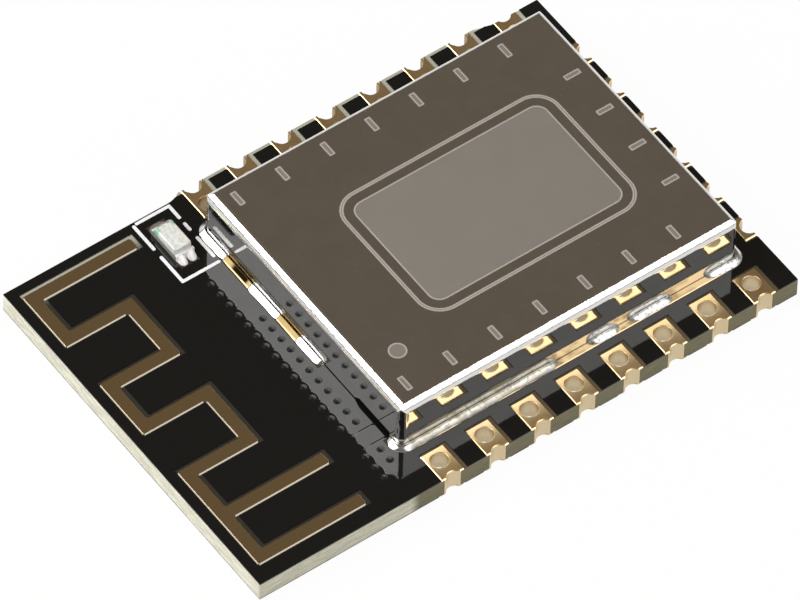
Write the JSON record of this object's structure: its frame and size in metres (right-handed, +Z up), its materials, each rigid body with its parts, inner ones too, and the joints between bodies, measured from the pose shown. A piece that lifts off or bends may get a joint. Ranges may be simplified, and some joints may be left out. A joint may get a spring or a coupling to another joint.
{
  "type": "wireless microcontroller module",
  "caption": "Surface-mount radio microcontroller module: a black board with plated half-hole edge pads, a printed meander antenna and a metal shield can over the chips.",
  "frame": {"origin": "Centre of the nominal 24 x 16 mm board outline on the bottom face, where the pads meet the host board.", "axes": "+X runs along the board from the antenna end to the far end, +Y to the rear long edge that has the routed step, and +Z up through the shield can."},
  "size_m": [0.024, 0.0162, 0.0031],
  "materials": {
    "laminate": "routed glass-fibre laminate",
    "solder_mask": "glossy black solder mask",
    "gold_plating": "immersion gold over copper",
    "shield_metal": "smooth drawn sheet with a fine grain",
    "solder": "bright reflowed solder",
    "lamp_substrate": "white laminate",
    "lamp_resin": "clear moulded resin",
    "legend_ink": "white legend ink",
    "chip_resin": "moulded resin",
    "tin_plating": "matte tin",
    "brown_ceramic": "fired ceramic",
    "white_ceramic": "fired ceramic"
  },
  "bodies": {
    "root": {"circuit_board": "laminate", "top_solder_mask": "solder_mask", "bottom_solder_mask": "solder_mask", "antenna_trace": "gold_plating", "stitching_vias": "gold_plating", "pad_01": "gold_plating", "pad_02": "gold_plating", "pad_03": "gold_plating", "pad_04": "gold_plating", "pad_05": "gold_plating", "pad_06": "gold_plating", "pad_07": "gold_plating", "pad_08": "gold_plating", "pad_09": "gold_plating", "pad_10": "gold_plating", "pad_11": "gold_plating", "pad_12": "gold_plating", "pad_13": "gold_plating", "pad_14": "gold_plating", "pad_15": "gold_plating", "pad_16": "gold_plating", "pad_17": "gold_plating", "pad_18": "gold_plating", "pad_19": "gold_plating", "pad_20": "gold_plating", "pad_21": "gold_plating", "pad_22": "gold_plating", "shield_land": "gold_plating", "lamp_lands": "gold_plating", "lamp_terminals": "gold_plating", "processor_lands": "gold_plating", "memory_lands": "gold_plating", "crystal_lands": "gold_plating", "small_part_lands": "gold_plating", "shield_can": "shield_metal", "crystal_lid": "shield_metal", "near_solder": "solder", "far_solder": "solder", "rear_solder": "solder", "antenna_side_solder": "solder", "lamp_solder": "solder", "lamp_base": "lamp_substrate", "lamp_lens": "lamp_resin", "printed_frame": "legend_ink", "processor": "chip_resin", "memory_chip": "chip_resin", "resistors": "chip_resin", "processor_terminals": "tin_plating", "memory_leads": "tin_plating", "capacitor_ends": "tin_plating", "resistor_ends": "tin_plating", "inductor_ends": "tin_plating", "crystal_base": "brown_ceramic", "capacitors": "brown_ceramic", "inductors": "white_ceramic"}
  },
  "joints": []
}
